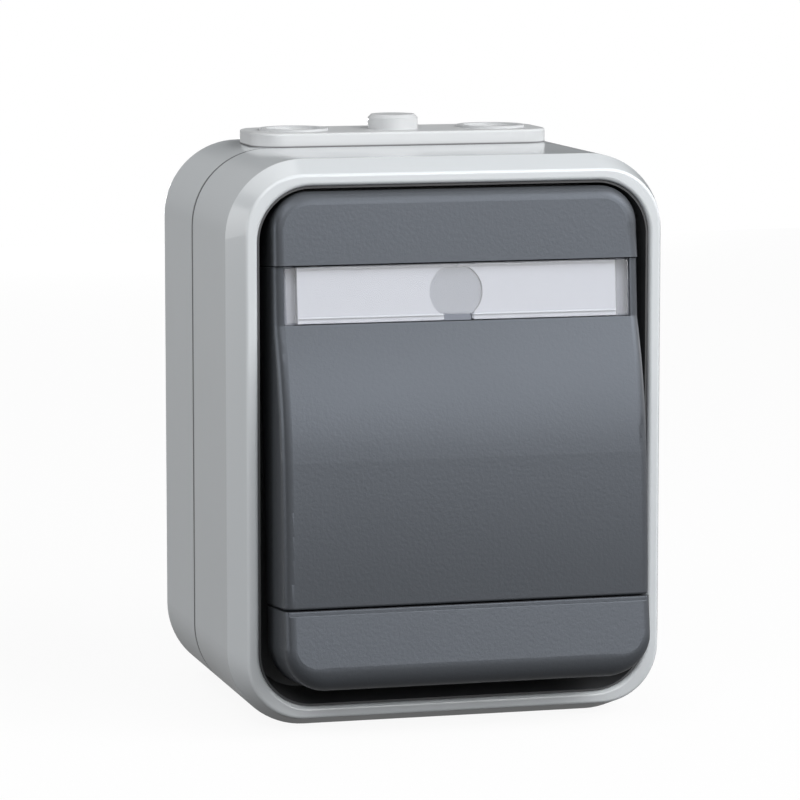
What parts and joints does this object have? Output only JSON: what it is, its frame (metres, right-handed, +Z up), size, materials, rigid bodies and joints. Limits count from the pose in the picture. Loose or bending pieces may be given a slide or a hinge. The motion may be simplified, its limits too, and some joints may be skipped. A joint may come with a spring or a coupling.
{
  "type": "weatherproof switch",
  "caption": "Surface-mounted splash-proof rocker switch: deep rounded two-part housing, soft cable entry plate on top, broad tilting rocker with a lit label window.",
  "frame": {"origin": "Centre of the flat rear face that meets the wall.", "axes": "+X to the right as seen from the front, +Y into the wall, +Z up; the rocker faces -Y."},
  "size_m": [0.066, 0.0573, 0.0873],
  "materials": {
    "housing_grey": "fine satin moulded plastic",
    "entry_pale": "soft pale moulded rubber",
    "collar_black": "dark matte plastic",
    "rocker_grey": "dark grey plastic with a fine satin grain",
    "window_clear": "clear polished plastic",
    "label_white": "matte white card",
    "guide_grey": "milky light guide",
    "seal_black": "soft black rubber",
    "steel": "zinc-plated steel",
    "insulation": "moulded insulating plastic",
    "cradle_black": "black engineering plastic",
    "brass": "plain rolled brass",
    "contact_silver": "silver contact rivets",
    "lamp_glass": "clear glow lamp bulb"
  },
  "bodies": {
    "housing": {"back_box": "housing_grey", "cover_frame": "housing_grey", "cable_entry": "entry_pale", "collar": "collar_black", "housing_seal": "seal_black", "cover_screw_washers": "seal_black", "plate_seal": "seal_black", "cover_screws": "steel", "plate_screws": "steel", "support_plate": "steel", "bridge_rivets": "steel", "terminal_screws": "steel", "mechanism_base": "insulation", "bearing_bridge": "insulation", "lamp_holder": "insulation", "terminal_blocks": "brass", "common_terminal": "brass", "upper_contact": "brass", "lower_contact": "brass", "lamp_pins": "brass", "fixed_tips": "contact_silver", "glow_lamp": "lamp_glass"},
    "rocker": {"rocker_frame": "rocker_grey", "rocker_panel": "rocker_grey", "label_window": "window_clear", "label_cards": "label_white", "light_guide": "guide_grey", "rocker_cradle": "cradle_black", "detent_spring": "steel"},
    "plunger": {"detent_plunger": "steel"},
    "contact": {"contact_lever": "brass", "lever_tips": "contact_silver"}
  },
  "joints": [
    {"name": "rocker_tilt", "type": "hinge", "parent": "housing", "child": "rocker", "pos_m": [0, -0.04, 0], "axis": [1, 0, 0], "range_deg": [0, 10]},
    {"name": "contact_tilt", "type": "hinge", "parent": "housing", "child": "contact", "pos_m": [0, -0.02245, 0], "axis": [1, 0, 0], "range_deg": [-12, 0]},
    {"name": "plunger_slide", "type": "slide", "parent": "rocker", "child": "plunger", "axis": [0, -0.9962, 0.0872], "range_m": [0, 0.0008], "stiffness_N_per_m": 400, "deforming": ["detent_spring"]}
  ],
  "couplings": [
    {"joint": "contact_tilt", "follows": "rocker_tilt", "ratio": -1.2}
  ]
}
